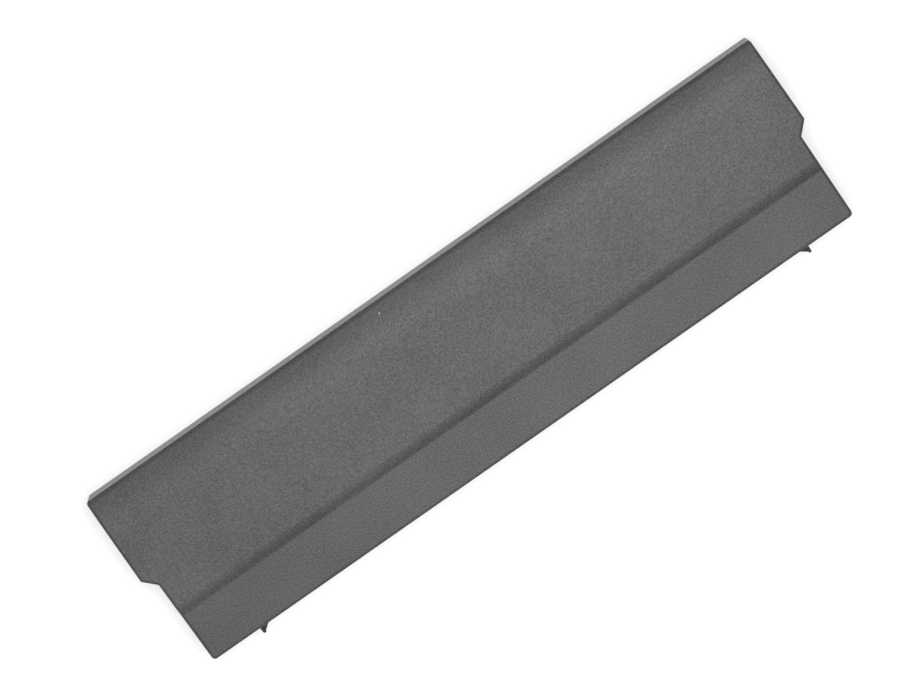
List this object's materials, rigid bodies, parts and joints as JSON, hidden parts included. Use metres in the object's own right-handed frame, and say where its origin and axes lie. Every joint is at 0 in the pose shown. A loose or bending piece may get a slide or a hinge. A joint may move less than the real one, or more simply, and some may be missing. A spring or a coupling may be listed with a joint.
{
  "type": "laptop battery",
  "caption": "Slim removable laptop battery pack: a grained two-part moulded housing with stepped ends, a lower front lip with locating hooks, and a slotted connector.",
  "frame": {"origin": "middle of the whole part's box, on the flat underside that it rests on", "axes": "+X along the pack, +Y to its rear wall, -Y to its connector and hooks, +Z to its grained outer face"},
  "size_m": [0.209, 0.055, 0.021],
  "materials": {
    "cover_plastic": "dark grey moulded plastic with a fine spark-eroded grain",
    "tray_plastic": "dark grey moulded plastic with a fine grain",
    "cell_sleeve": "plain shrink sleeve, bare steel at the ends",
    "nickel_strip": "rolled nickel strip",
    "insulating_card": "grey insulating card",
    "board_laminate": "green solder resist on laminate",
    "chip_plastic": "black moulded package",
    "chip_ceramic": "tan ceramic with tinned ends",
    "connector_plastic": "black moulded plastic",
    "contact_metal": "gold-plated spring"
  },
  "bodies": {
    "root": {"outer_cover": "cover_plastic", "inner_tray": "tray_plastic", "cell_1": "cell_sleeve", "cell_2": "cell_sleeve", "cell_3": "cell_sleeve", "cell_4": "cell_sleeve", "cell_5": "cell_sleeve", "cell_6": "cell_sleeve", "bus_negative": "nickel_strip", "bus_mid_1": "nickel_strip", "bus_mid_2": "nickel_strip", "bus_positive": "nickel_strip", "bus_card_1": "insulating_card", "bus_card_2": "insulating_card", "end_insulator_left": "insulating_card", "end_insulator_right": "insulating_card", "circuit_board": "board_laminate", "gauge_chip": "chip_plastic", "mosfet_1": "chip_plastic", "mosfet_2": "chip_plastic", "fuse": "chip_ceramic", "sense_resistor": "chip_ceramic", "thermistor": "chip_ceramic", "capacitor_1": "chip_ceramic", "capacitor_2": "chip_ceramic", "capacitor_3": "chip_ceramic", "capacitor_4": "chip_ceramic", "connector_housing": "connector_plastic", "contact_1": "contact_metal", "contact_2": "contact_metal", "contact_3": "contact_metal", "contact_4": "contact_metal", "contact_5": "contact_metal", "contact_6": "contact_metal", "contact_7": "contact_metal", "contact_8": "contact_metal", "contact_9": "contact_metal"}
  },
  "joints": []
}
